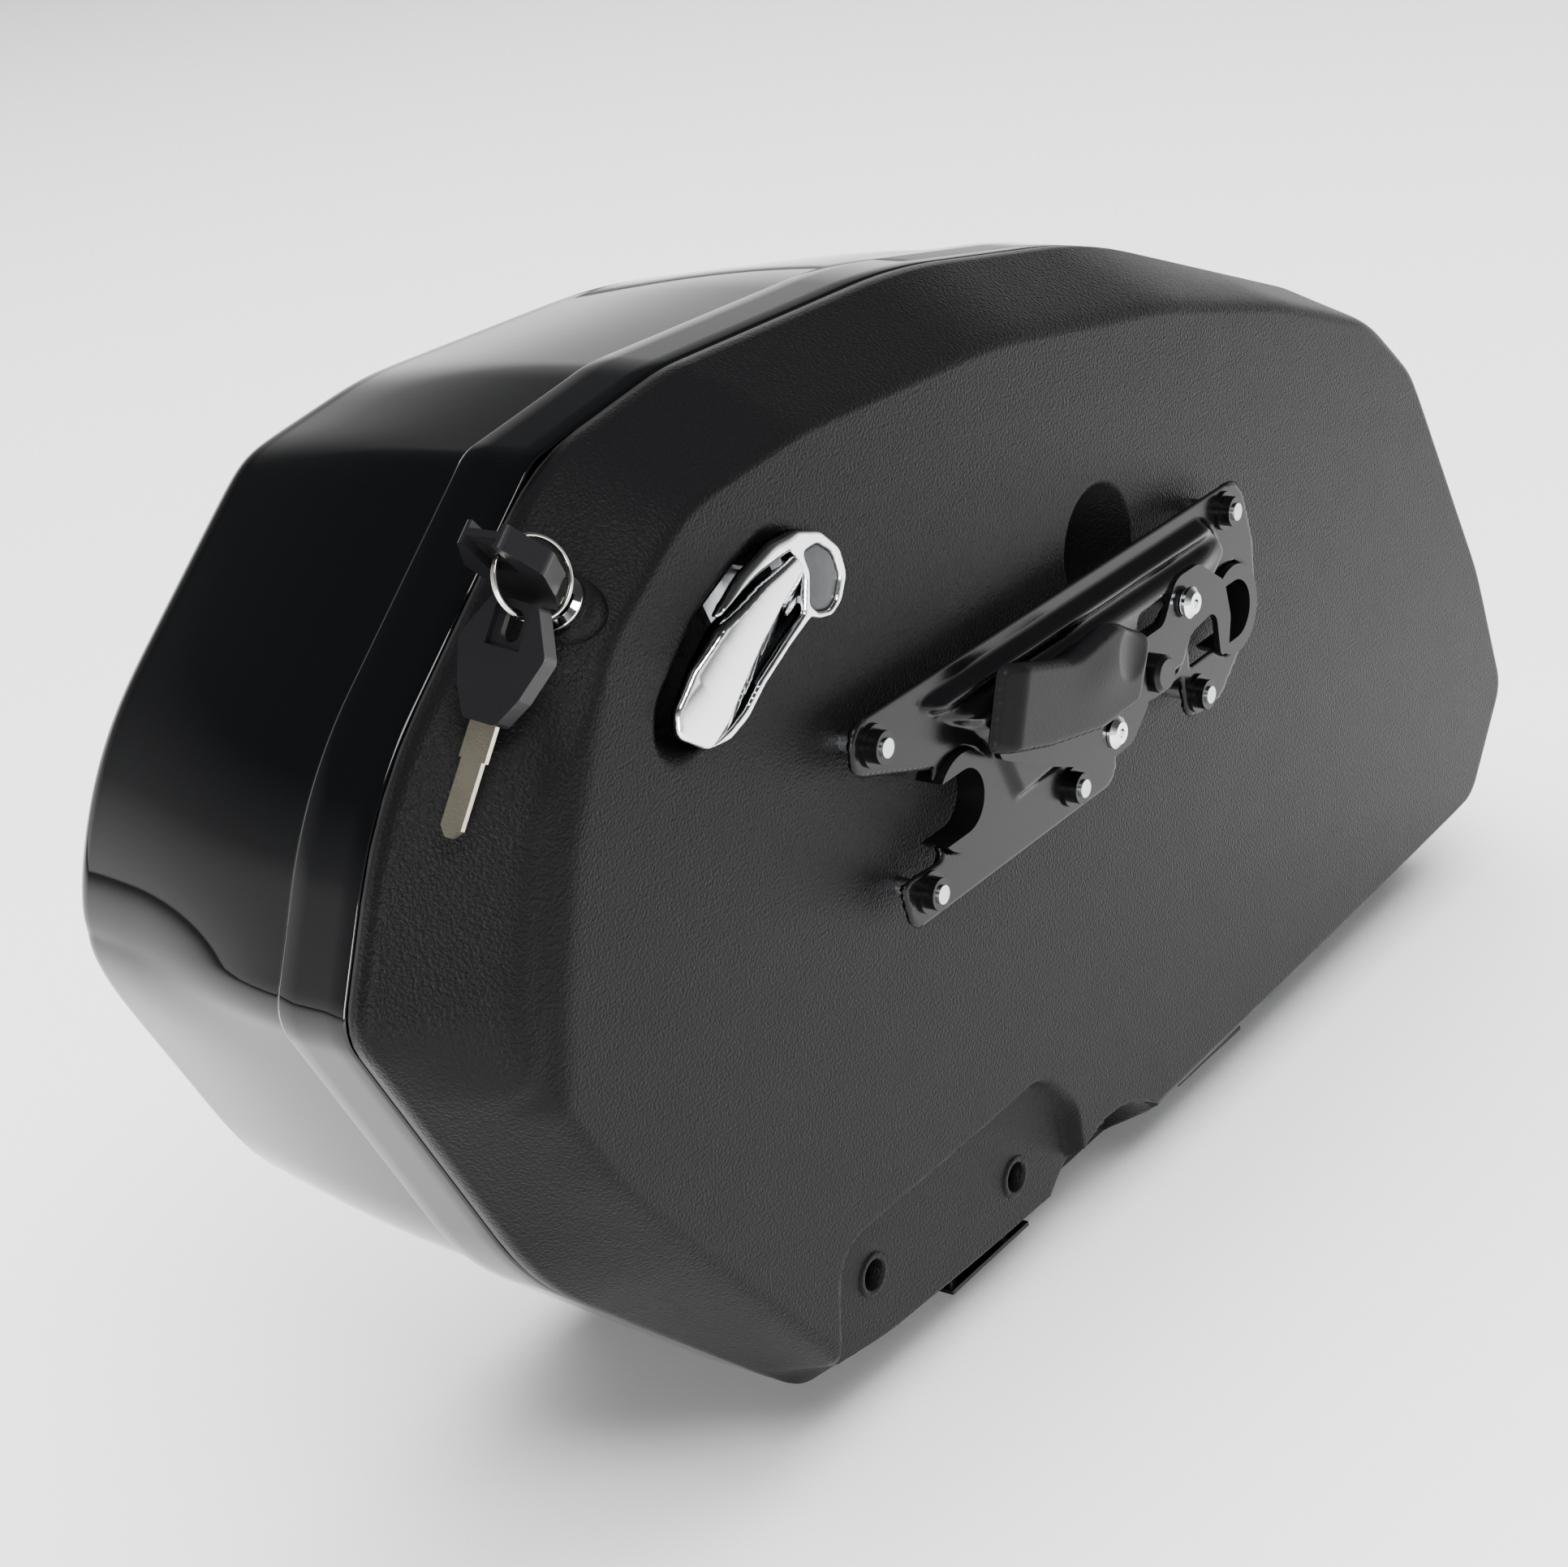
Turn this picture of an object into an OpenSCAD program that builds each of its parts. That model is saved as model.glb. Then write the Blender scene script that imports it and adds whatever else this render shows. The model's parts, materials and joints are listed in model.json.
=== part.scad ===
// Hard saddlebag for a motorcycle: a moulded base tray that faces the machine, a deep gloss lid
// hinged along its bottom edge, a quick-release docking plate, a lid latch and a key lock.
//
// Frame: X runs along the bag (front hook to rear hook), Y points away from the motorcycle and
// Z is up. The origin is on the axis of the front docking hook, at the hook's front rim.

/* [Shells] */
// Distance from the hook rims back to the flat face of the base tray
face_y = 13; // [11:0.5:16]
// Depth of the base tray, from its flat face to the seam
base_depth = 36; // [32:1:44]
// Width of the straight band on the lid beside the seam
band_width = 25; // [18:1:30]
// Depth of the tapered part of the lid
lid_depth = 101; // [80:1:130]
// Extra depth of the crowned outer face of the lid
crown = 17; // [10:1:24]
// How far the lid tapers inwards on each side
lid_taper = 16; // [10:1:22]
// Wall thickness of both shells
wall = 3; // [2.5:0.5:4]
// Radius of the rounded edge around the flat face
edge_r = 11; // [8:1:14]

/* [Docking plate] */
// Distance between the two docking hooks
hook_spacing = 177; // [170:1:184]
// Inner radius of a docking hook
hook_r = 10.5; // [9.5:0.5:11.5]
// Outer radius of a docking hook
hook_outer_r = 16; // [14:0.5:18]
// Length of a docking hook along its axis
hook_length = 10; // [8:1:12]
// Thickness of the pressed steel sheet
sheet = 2.5; // [2:0.5:3]
// Height of the raised field above the plate's flanges
field_rise = 4; // [3:0.5:5]
// Radius of the five mounting bolts
bolt_r = 3; // [2.5:0.5:4]

/* [Lock and latch] */
// Radius of the lock's chrome flange
lock_flange_r = 8.5; // [7.5:0.5:10]
// Radius of the turning lock plug
plug_r = 5.5; // [5:0.5:6.5]
// Length of a key's plastic bow
bow_length = 33; // [28:1:38]
// Length of a key's blade beyond the bow
blade_length = 31; // [26:1:36]
// Radius of the latch rod
rod_r = 3.5; // [3:0.5:4.5]
// Radius of the lower mounting holes
lower_hole_r = 5; // [4:0.5:6]

/* [Hidden] */
$fn = 48;
eps = 0.01;
run_gap = 0.05;

// Levels along Y
seam_y = face_y + base_depth;
gasket_h = 1.7;
lid_y = seam_y + 2;
band_y = lid_y + band_width;
shoulder_y = band_y + lid_depth;
apex_y = shoulder_y + crown;
plate_y = 2.5;
plate_back = plate_y + sheet;
field_y = plate_y - field_rise;

// Outline of the seam as corners [x, z, radius], clockwise from the lower front corner
SEAM = [
    [-225, 17, 20], [-199, 76, 120], [-118, 143, 70], [-60, 152, 80], [60, 150, 300],
    [170, 130, 300], [318, 74, 150], [384, 30, 60], [440, -85, 90], [452, -132, 16],
    [420, -184, 22], [240, -194.6, 40], [0, -194.6, 40], [-62, -190, 26], [-172, -88, 120]
];
// Point that the crowned outer face of the lid shrinks towards [x, z]
CROWN_AT = [100, -15];
// Outline of the theoretical edge between the flat face and the sloping sides
FACE = [
    [-192, -6, 16], [-168, 66, 60], [-140, 104, 36], [-102, 127, 50], [-46, 132, 100],
    [60, 129, 300], [165, 112, 300], [250, 90, 200], [322, 62, 60], [352, 34, 40],
    [408, -66, 100], [430, -126, 14], [398, -164, 18], [124, -174, 60], [-78, -165, 12],
    [-168, -50, 120]
];

// Plate bolts [x, z]
BOLTS = [[-42, 35], [177, 36], [-21, -22], [65, -22], [151, -22]];
// Lower mounting holes [x, z]
LOWER_HOLES = [[-51, -146], [34, -156]];

// Docking plate: outline of the sheet and of its raised field
PLATE = [
    [-52, 45, 10], [190, 45, 14], [197, 20, 12], [197, -8, 14], [168, -30, 8], [143, -30, 8],
    [141, -13, 3], [96, -13, 3], [94, -32, 9], [-31, -32, 8], [-35, -14, 4], [-12, -15, 3],
    [-12, 15, 2], [-54, 29, 8]
];
FIELD = [
    [-24, 39, 4], [160, 39, 6], [172, 24, 10], [156, 12.5, 4], [140, -9, 4], [30, -13, 5],
    [20, 8, 4], [12, 19, 4]
];
GROOVE = [[-14, 34, 2], [166, 34, 2], [166, 31, 1.4], [-14, 31, 1.4]];

// Release lever pivot, pawl pivot and pawl knob [x, z]
RELEASE_PIVOT = [79, -7];
PAWL_PIVOT = [135, 18];
KNOB = [110, 2];
knob_r = 6.5;
pawl_y = field_y - 0.3;
pawl_t = 2.2;
arm_y = pawl_y - pawl_t - 0.4;
arm_t = 2.4;
grip_t = 6;
ARM = [
    [10, 11, 4], [17, 33, 5], [88, 22, 6], [101, 14, 4], [102, -6, 5], [90, -15, 6],
    [70, -16, 6], [34, -1, 12]
];
GRIP = [
    [4, 15, 4], [14, 41, 5], [24, 38, 8], [50, 30, 24], [66, 32, 14], [76, 33, 12],
    [97, 21, 4], [87, 1, 5], [62, 1, 24], [32, 7, 20]
];
PAWL = [
    [96, 9, 7], [104, 15, 5], [120, 15, 6], [130, 28, 9], [146, 28, 9], [163, 16, 6],
    [166, 2, 8], [163, -10, 2.5], [157.5, -10, 2.5], [156, 8, 5], [140, 6, 6], [128, 0, 8],
    [116, -8, 7], [103, -7, 7]
];

// Latch pivot, and the direction of the latch lever and rod in the XZ plane
LATCH_AT = [-61, 17, 92];
latch_angle = 23.5;
BEZEL = [
    [-56, 15, 16], [-34, 20, 24], [-12, 21, 14], [6, 17, 14], [24, 10, 12], [24, -10, 12],
    [10, -17, 8], [2, -13, 4], [-6, -12, 12], [-40, -18, 16], [-58, -12, 6], [-68, 4, 6]
];
LEVER = [
    [-54, 12, 14], [-33, 16, 24], [-14, 17, 8], [-6, 12, 3], [-6, -8, 3], [-40, -14, 14],
    [-57, -9, 6], [-66, 4, 4]
];
// Ear under the lever that carries its pivot, as [along the rod, y]
LEVER_EAR = [[-14, 9.8], [-7, 9.8], [2, 13.6], [4, 17], [3, 20.5], [-3, 20.5], [-14, 13.5]];
// Room for the near end of the lever as it swings
LEVER_SWEEP = [[-26, 18], [-14, 18.8], [-1, 13], [2.6, 10.5], [2.6, -9], [-12, -9]];
PAD = [[8, 0, 2], [5, 9, 2], [8, 12, 7], [21, 6, 7], [21, -6, 7], [14, -12, 8], [5, -9, 3]];
pocket_depth = 14;
rod_y = 42;
rod_end = 110;
striker_x = 102;

// Recess around the lower mounting holes
PANEL = [[-80, -180, 2], [-72, -125, 16], [48, -125, 20], [67, -146, 16], [70, -180, 2]];
panel_depth = 5;

// Lock position on the sloping side, its outward direction and the way the key lies across it
LOCK_AT = [-143.5, 27, 112.7];
lock_dir = unit([-0.655, 0, 0.756]);
bow_across = [0, -1, 0];
key_gap = 4;
// Key ring: the point where it passes through the key in the lock, its two in-plane directions
// and its centre
ring_r = 11.2;
RING_ON_KEY = LOCK_AT + lock_dir * (bow_length + key_gap - 9);
ring_v = cross(lock_dir, bow_across);
ring_u = unit(cross_flat([0.59, -0.44, -0.68], ring_v));
RING_AT = RING_ON_KEY + 11.05 * ring_u - 1.8 * ring_v;
// Spare key: its length direction, the direction across its bow and the middle of its bow's end
spare_dir = unit([-0.53, 0.1, -0.84]);
spare_across = unit(cross_flat([0.1, -1, -0.18], spare_dir));
SPARE_AT = RING_AT + ring_r * (0.06 * ring_u - 0.998 * ring_v) - 4 * spare_dir;
BOW = [
    [0, -7, 2], [0, 7, 2], [13, 13.5, 3], [25, 9.5, 3], [bow_length, 5, 2],
    [bow_length, -5, 2], [25, -9.5, 3], [13, -13.5, 3]
];
bow_t = 7;
// Ring slot of a key: its width, and the thickness of the thinned web around it
slot_w = 5.6;
web_t = 2.2;

// Hinge axis under the seam, and the two hinge positions
HINGE = [seam_y + 1, -199.6];
HINGE_X = [15, 175];
hinge_w = 50;
knuckle_r = 4;
pin_r = 2;
leaf_t = 1.6;
seam_low = -195;

// ---- Helpers ----

function unit(v) = v / norm(v);

// Part of v that is perpendicular to the unit vector n
function cross_flat(v, n) = v - (v * n) * n;

// Two control points as plain 2D points
function xy(p) = [p[0], p[1]];

// Arc of the given radius that rounds the corner b between its neighbours a and c
function corner(a, b, c, r, steps) =
    let (
        u = unit(a - b),
        v = unit(c - b),
        half = acos(max(-1, min(1, u * v))) / 2,
        reach = min(r / tan(half), 0.48 * norm(a - b), 0.48 * norm(c - b)),
        rr = reach * tan(half),
        centre = b + unit(u + v) * rr / sin(half),
        from = b + u * reach - centre,
        turn = (u[0] * v[1] - u[1] * v[0] > 0 ? -1 : 1) * (180 - 2 * half)
    )
    [for (i = [0 : steps])
        let (t = turn * i / steps)
        centre + [from[0] * cos(t) - from[1] * sin(t), from[0] * sin(t) + from[1] * cos(t)]];

// Closed outline with every corner rounded by its own radius
function rounded(pts, steps = 5) =
    let (n = len(pts))
    [for (i = [0 : n - 1])
        each corner(xy(pts[(i + n - 1) % n]), xy(pts[i]), xy(pts[(i + 1) % n]), pts[i][2], steps)];

// Moves every edge of a clockwise outline inwards by d; a negative d moves it outwards
function inset(pts, d) =
    let (n = len(pts))
    [for (i = [0 : n - 1])
        let (
            p = xy(pts[i]),
            a = unit(p - xy(pts[(i + n - 1) % n])),
            b = unit(xy(pts[(i + 1) % n]) - p),
            na = [a[1], -a[0]],
            nb = [b[1], -b[0]],
            m = (na + nb) / (1 + na * nb)
        )
        [p[0] + m[0] * d, p[1] + m[1] * d, max(0.6, pts[i][2] - d)]];

// Shrinks an outline towards the middle of the crown
function shrunk(pts, s) =
    [for (p = pts)
        [CROWN_AT[0] + s * (p[0] - CROWN_AT[0]), CROWN_AT[1] + s * (p[1] - CROWN_AT[1]), s * p[2]]];

// Prism of an XZ outline between two Y levels
module prism(points, y0, y1) {
    translate([0, y1, 0])
        rotate([90, 0, 0])
            linear_extrude(y1 - y0)
                polygon(points);
}

// Thin slice of a rounded outline that starts at level y
module slice(pts, y) {
    prism(rounded(pts, 4), y, y + 0.05);
}

// Cylinder along +Y from y0 to y1
module along_y(x, z, r, y0, y1) {
    translate([x, y0, z])
        rotate([-90, 0, 0])
            cylinder(r = r, h = y1 - y0);
}

// Cylinder along +X
module along_x(x, y, z, r, length) {
    translate([x, y, z])
        rotate([0, 90, 0])
            cylinder(r = r, h = length);
}

// Places children whose own X, Y, Z axes become a, b and the third perpendicular one
module placed(at, a, b) {
    c = cross(a, b);
    multmatrix([
        [a[0], b[0], c[0], at[0]],
        [a[1], b[1], c[1], at[1]],
        [a[2], b[2], c[2], at[2]],
        [0, 0, 0, 1]
    ])
        children();
}

// Frame of the latch: X along the rod, Z across the lever
module latch_frame() {
    translate([LATCH_AT[0], 0, LATCH_AT[2]])
        rotate([0, -latch_angle, 0])
            children();
}

// Frame of the lock: X points out of the keyway, Y across the key's bow
module lock_frame() {
    placed(LOCK_AT, lock_dir, bow_across) children();
}

// ---- Base tray ----

// Solid of the tray, made smaller all round by t
module tray_solid(t) {
    hull() {
        for (a = [0 : 20 : 60])
            slice(inset(FACE, t + edge_r * (tan(30) - sin(a))), face_y + t + edge_r * (1 - cos(a)));
        slice(inset(SEAM, t), seam_y - 4);
        slice(inset(SEAM, t), seam_y - 0.05 + (t > 0 ? 1 : 0));
    }
}

// Pockets pressed into the face; t grows them, to leave a wall behind each one
module tray_dents(t) {
    latch_frame() {
        prism(rounded(inset(BEZEL, 2.5 - t)), face_y - 2, face_y + pocket_depth + t);
        translate([-42, -3, 10])
            sphere(r = 24 + t);
    }
    prism(rounded(inset(PANEL, -t)), face_y - 8, face_y + panel_depth + t);
    translate([109.5, face_y - 20.9, 44.5])
        rotate([90, 0, 0])
            sphere(r = 30 + t);
    along_y(90, -209, 48 + t, face_y - 10, seam_y - 9 + t);
}

// Outside of the tray with its pockets and the two pads for the hinge leaves
module tray_outside() {
    difference() {
        tray_solid(0);
        tray_dents(0);
    }
    for (x = HINGE_X)
        translate([x - 2, seam_y - 15, seam_low])
            cube([hinge_w + 4, 14.5, 8]);
}

module base_shell() {
    color("#26272a")
        difference() {
            union() {
                difference() {
                    tray_outside();
                    difference() {
                        tray_solid(wall);
                        tray_dents(wall);
                    }
                }
                for (b = BOLTS)
                    along_y(b[0], b[1], 8.5, plate_back, face_y + 1);
                lock_frame()
                    rotate([0, 90, 0])
                        translate([0, 0, -9])
                            cylinder(r = lock_flange_r + 1.5, h = 8.6);
            }
            for (b = BOLTS)
                along_y(b[0], b[1], bolt_r + 0.2, plate_back - 1, face_y + wall + 1);
            for (h = LOWER_HOLES)
                along_y(h[0], h[1], lower_hole_r, face_y, face_y + 14);
            lock_frame()
                rotate([0, 90, 0])
                    translate([0, 0, -20])
                        cylinder(r = plug_r + 2, h = 24);
            lock_frame()
                rotate([0, 90, 0])
                    translate([0, 0, -0.4])
                        cylinder(r = lock_flange_r + 0.3, h = 12);
            latch_frame()
                translate([-18, face_y + pocket_depth - 1, -5])
                    cube([26, wall + 4, 10]);
            rivet_holes(1.5);
        }
}

// Rubber seal on the tray's rim
module seam_gasket() {
    color("#0c0c0d")
        difference() {
            prism(rounded(inset(SEAM, 0.7), 4), seam_y, seam_y + gasket_h);
            prism(rounded(inset(SEAM, wall - 0.2), 4), seam_y - 1, seam_y + gasket_h + 1);
        }
}

// Steel plate inside the tray that spreads the load of the bolts
module reinforcement_plate() {
    y0 = face_y + wall;
    color("#8a8c90")
        difference() {
            prism(rounded([[-55, 47, 10], [190, 47, 10], [190, 24, 8], [166, -34, 8],
                           [-34, -34, 8], [-55, 24, 8]]), y0, y0 + 2);
            for (b = BOLTS)
                along_y(b[0], b[1], bolt_r, y0 - 1, y0 + 3);
            along_y(109.5, 44.5, 25, y0 - 1, y0 + 3);
            prism(rounded([[-14, 20, 6], [86, 20, 6], [86, -8, 6], [-14, -8, 6]]), y0 - 1, y0 + 3);
        }
}

// Bolts from inside the bag; their ends show in the sleeve nuts
module plate_bolts() {
    head_y = face_y + wall + 2;
    color("#c9cbcf")
        for (b = BOLTS) {
            along_y(b[0], b[1], bolt_r, -3, head_y);
            along_y(b[0], b[1], 2 * bolt_r, head_y, head_y + 2.6);
        }
}

// ---- Docking plate ----

module mount_plate() {
    color("#1b1c1e")
        difference() {
            union() {
                difference() {
                    union() {
                        prism(rounded(PLATE), plate_y, plate_back);
                        prism(rounded(FIELD), field_y, plate_y);
                    }
                    prism(rounded(inset(FIELD, sheet)), field_y + sheet, plate_back + 1);
                }
                along_y(RELEASE_PIVOT[0], RELEASE_PIVOT[1], 6, field_y, plate_back);
                along_y(PAWL_PIVOT[0], PAWL_PIVOT[1], 6, field_y, plate_back);
            }
            prism(rounded(GROOVE), field_y - 1, field_y + 1.5);
            along_y(0, 0, hook_outer_r, field_y - 1, plate_back + 1);
            along_y(hook_spacing, 0, hook_outer_r, field_y - 1, plate_back + 1);
            translate([hook_spacing - 27, field_y - 1, -hook_r])
                cube([27, 8, 2 * hook_r]);
            translate([-16, field_y - 1, -hook_r])
                cube([16, 8, 2 * hook_r]);
            for (b = BOLTS)
                along_y(b[0], b[1], bolt_r, plate_y - 1, plate_back + 1);
            along_y(RELEASE_PIVOT[0], RELEASE_PIVOT[1], 3, field_y - 1, plate_back + 1);
            along_y(PAWL_PIVOT[0], PAWL_PIVOT[1], 3, field_y - 1, plate_back + 1);
            for (x = [111, 124])
                along_y(x, 18.5, 3.5, field_y - 1, field_y + sheet + 1);
            translate([111, field_y - 1, 15])
                cube([13, sheet + 2, 7]);
        }
}

// One docking hook: a collar that is open to the front
module collar(x) {
    difference() {
        along_y(x, 0, hook_outer_r, 0, hook_length);
        along_y(x, 0, hook_r, -1, hook_length + 1);
        translate([x - hook_outer_r - 1, -1, -hook_r])
            cube([hook_outer_r + 1, hook_length + 2, 2 * hook_r]);
    }
}

module hook_collars() {
    color("#202124") {
        collar(0);
        collar(hook_spacing);
    }
}

module sleeve_nuts() {
    color("#141415")
        for (b = BOLTS)
            difference() {
                union() {
                    along_y(b[0], b[1], 5.2, -2.2, plate_y);
                    along_y(b[0], b[1], 6.8, plate_y - 1.2, plate_y);
                }
                along_y(b[0], b[1], bolt_r, -3, plate_y + 1);
            }
}

// Button-head pivot screw: head in front of level y, shank back to the plate
module button_screw(at, y) {
    translate([at[0], y, at[1]])
        rotate([-90, 0, 0])
            difference() {
                union() {
                    translate([0, 0, -2.6])
                        cylinder(r1 = 3.6, r2 = 5.4, h = 1.6);
                    translate([0, 0, -1])
                        cylinder(r = 5.4, h = 1);
                    cylinder(r = 3, h = plate_back - y);
                }
                translate([0, 0, -3])
                    cylinder(r = 1.7, h = 2, $fn = 6);
            }
}

module release_screw() {
    color("#d8dadd") button_screw(RELEASE_PIVOT, arm_y - arm_t - 0.2);
}

module pawl_screw() {
    color("#d8dadd") button_screw(PAWL_PIVOT, pawl_y - pawl_t - 1.6);
}

// Torsion spring around the pawl's pivot
module pawl_spring() {
    color("#b8babd")
        for (i = [0 : 1])
            translate([PAWL_PIVOT[0], pawl_y - pawl_t - 0.45 - 0.7 * i, PAWL_PIVOT[1]])
                rotate([90, 0, 0])
                    rotate_extrude()
                        translate([4.2, 0])
                            circle(r = 0.34);
}

// ---- Release lever and pawl ----

module release_arm() {
    color("#1b1c1e")
        difference() {
            prism(rounded(ARM), arm_y - arm_t, arm_y);
            along_y(RELEASE_PIVOT[0], RELEASE_PIVOT[1], 3 + run_gap, arm_y - 9, arm_y + 1);
        }
}

module release_grip() {
    color("#232427")
        difference() {
            prism(rounded(GRIP), arm_y - arm_t - grip_t, arm_y - arm_t);
            along_y(RELEASE_PIVOT[0], RELEASE_PIVOT[1], 7, arm_y - 20, arm_y + 1);
        }
}

module latch_pawl() {
    color("#1f2022")
        difference() {
            prism(rounded(PAWL), pawl_y - pawl_t, pawl_y);
            along_y(PAWL_PIVOT[0], PAWL_PIVOT[1], 3 + run_gap, pawl_y - 9, pawl_y + 1);
        }
}

module pawl_knob() {
    color("#18191b")
        translate([KNOB[0], pawl_y - pawl_t, KNOB[1]])
            rotate([90, 0, 0])
                rotate_extrude()
                    polygon([[0, 0], [knob_r, 0], [knob_r, 4.6], [knob_r - 1.4, 6], [0, 6]]);
}

// ---- Lid latch ----

module latch_bezel() {
    color("#dfe1e4")
        latch_frame()
            difference() {
                prism(rounded(BEZEL), face_y - 3, face_y - eps);
                prism(rounded(inset(LEVER, -1)), face_y - 6, face_y + 1);
                prism(LEVER_SWEEP, face_y - 6, face_y + 1);
                prism(rounded(PAD), face_y - 6, face_y - 2);
            }
}

module latch_pad() {
    color("#4c4e52")
        latch_frame()
            prism(rounded(inset(PAD, 0.1)), face_y - 3.4, face_y - 2);
}

// Steel bracket on the pocket floor that holds the lever's pin
module lever_bracket() {
    floor_y = face_y + pocket_depth;
    color("#8a8c90")
        latch_frame()
            difference() {
                union() {
                    translate([-22, floor_y - 2, -9.2])
                        cube([34, 2, 18.4]);
                    for (z = [-9.2, 7.6])
                        translate([-5, LATCH_AT[1] - 3.7, z])
                            cube([10, floor_y - LATCH_AT[1] + 3, 1.6]);
                }
                translate([-18, floor_y - 3, -5])
                    cube([26, 4, 10]);
                translate([0, LATCH_AT[1], -12])
                    cylinder(r = 2.5, h = 24);
            }
}

module lever_pin() {
    color("#c9cbcf")
        latch_frame()
            translate([0, LATCH_AT[1], -9.2])
                cylinder(r = 2.5, h = 18.4);
}

module latch_lever() {
    color("#e6e8ea")
        latch_frame()
            difference() {
                union() {
                    prism(rounded(LEVER), face_y - 6, face_y - 0.4);
                    for (z = [-7.4, 5])
                        translate([0, 0, z])
                            linear_extrude(2.4)
                                polygon(LEVER_EAR);
                }
                translate([0, LATCH_AT[1], -12])
                    cylinder(r = 2.5 + run_gap, h = 24);
            }
}

// Crank behind the lever; its tip works the latch rod
module lever_crank() {
    color("#8a8c90")
        latch_frame()
            difference() {
                union() {
                    translate([0, LATCH_AT[1], -4.6])
                        cylinder(r = 3.9, h = 9.2);
                    translate([-3, LATCH_AT[1], -3])
                        cube([6, rod_y - LATCH_AT[1] - 1, 6]);
                    translate([0, rod_y - 1, -3])
                        cylinder(r = 3, h = 6);
                }
                translate([0, LATCH_AT[1], -12])
                    cylinder(r = 2.5 + run_gap, h = 24);
            }
}

// Rod with a fork around the crank's tip; its far end is the latch bolt
module latch_rod() {
    color("#b4b6ba")
        latch_frame()
            union() {
                translate([14, rod_y, 0])
                    rotate([0, 90, 0])
                        cylinder(r = rod_r, h = rod_end - 14);
                difference() {
                    translate([-9, rod_y - 4.5, -7])
                        cube([24, 9, 14]);
                    translate([-4, rod_y - 6, -3.6])
                        cube([8, 12, 7.2]);
                }
            }
}

// Brackets on the tray's wall that guide the rod: [position, start of the foot]
GUIDES = [[30, 30], [88, 78]];

module rod_guides() {
    y0 = face_y + wall;
    color("#8a8c90")
        latch_frame()
            for (g = GUIDES)
                difference() {
                    union() {
                        translate([g[0], y0, -20])
                            cube([2, rod_y - y0 + 7, 11]);
                        translate([g[0], 30, -12])
                            cube([2, rod_y - 23, 19]);
                        translate([g[1], y0, -20])
                            cube([12, 2, 11]);
                    }
                    translate([g[0] - 1, rod_y, 0])
                        rotate([0, 90, 0])
                            cylinder(r = rod_r + run_gap, h = 4);
                }
}

// Collar pinned to the rod, pushed by the return spring
module rod_collar() {
    color("#8a8c90")
        latch_frame()
            translate([58, rod_y, 0])
                rotate([0, 90, 0])
                    difference() {
                        cylinder(r = 6, h = 4);
                        translate([0, 0, -1])
                            cylinder(r = rod_r, h = 6);
                    }
}

// Return spring: closed coils between the first guide and the collar
module rod_spring() {
    coils = 7;
    color("#b8babd")
        latch_frame()
            for (i = [0 : coils - 1])
                translate([33.2 + 3.8 * i, rod_y, 0])
                    rotate([0, 90, 0])
                        rotate_extrude($fn = 36)
                            translate([4.8, 0])
                                circle(r = 0.6, $fn = 16);
}

// ---- Lock and keys ----

// Barrel of the lock with its chrome flange, bored for the plug
module lock_body() {
    color("#d2d4d8")
        lock_frame()
            rotate([0, 90, 0])
                difference() {
                    union() {
                        translate([0, 0, -30])
                            cylinder(r = plug_r + 1.8, h = 31);
                        translate([0, 0, -0.4])
                            cylinder(r = lock_flange_r, h = 1.2);
                        translate([0, 0, 0.8])
                            cylinder(r1 = lock_flange_r, r2 = lock_flange_r - 1.6, h = 1.4);
                    }
                    translate([0, 0, -31])
                        cylinder(r = plug_r + run_gap, h = 40);
                }
}

module lock_nut() {
    color("#8a8c90")
        lock_frame()
            rotate([0, 90, 0])
                translate([0, 0, -22])
                    difference() {
                        cylinder(r = 11, h = 4, $fn = 6);
                        translate([0, 0, -1])
                            cylinder(r = plug_r + 1.8, h = 6);
                    }
}

// Plug that turns with the key
module lock_plug() {
    color("#9c9ea2")
        lock_frame()
            difference() {
                rotate([0, 90, 0])
                    translate([0, 0, -31])
                        cylinder(r = plug_r, h = 32.6);
                translate([3 - blade_length, -4.1, -1.1])
                    cube([blade_length, 8.2, 2.2]);
            }
}

// Hooked tongue on the plug's inner end: it swings behind the lid's keeper to lock
TONGUE = [[4, 0], [4, 34], [-11, 34], [-11, 30], [-4, 30], [-4, 0]];

module lock_cam() {
    color("#8a8c90")
        lock_frame()
            translate([-33, 0, 0])
                rotate([90, 0, 90])
                    difference() {
                        union() {
                            cylinder(r = 6, h = 2);
                            linear_extrude(2)
                                polygon(TONGUE);
                        }
                        translate([0, 0, -1])
                            cylinder(r = 2, h = 4);
                    }
}

module cam_screw() {
    color("#c9cbcf")
        lock_frame()
            rotate([0, 90, 0]) {
                translate([0, 0, -33])
                    cylinder(r = 2, h = 2);
                translate([0, 0, -35])
                    cylinder(r = 4, h = 2);
            }
}

// Bow of a key in its own frame: X from the bow's end to the blade's tip, Y across
module bow() {
    difference() {
        translate([0, 0, -bow_t / 2])
            linear_extrude(bow_t)
                polygon(rounded(BOW, 3));
        for (z = [-bow_t, web_t / 2])
            translate([-1, -5.2, z])
                cube([14, 10.4, bow_t - web_t / 2]);
        translate([2.2 + slot_w / 2, -slot_w / 2, -bow_t])
            cube([9 - slot_w, slot_w, 2 * bow_t]);
        for (x = [2.2 + slot_w / 2, 11.2 - slot_w / 2])
            translate([x, 0, -bow_t])
                cylinder(r = slot_w / 2, h = 2 * bow_t);
        translate([bow_length - 8, -4, -1])
            cube([10, 8, 2]);
    }
}

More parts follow.
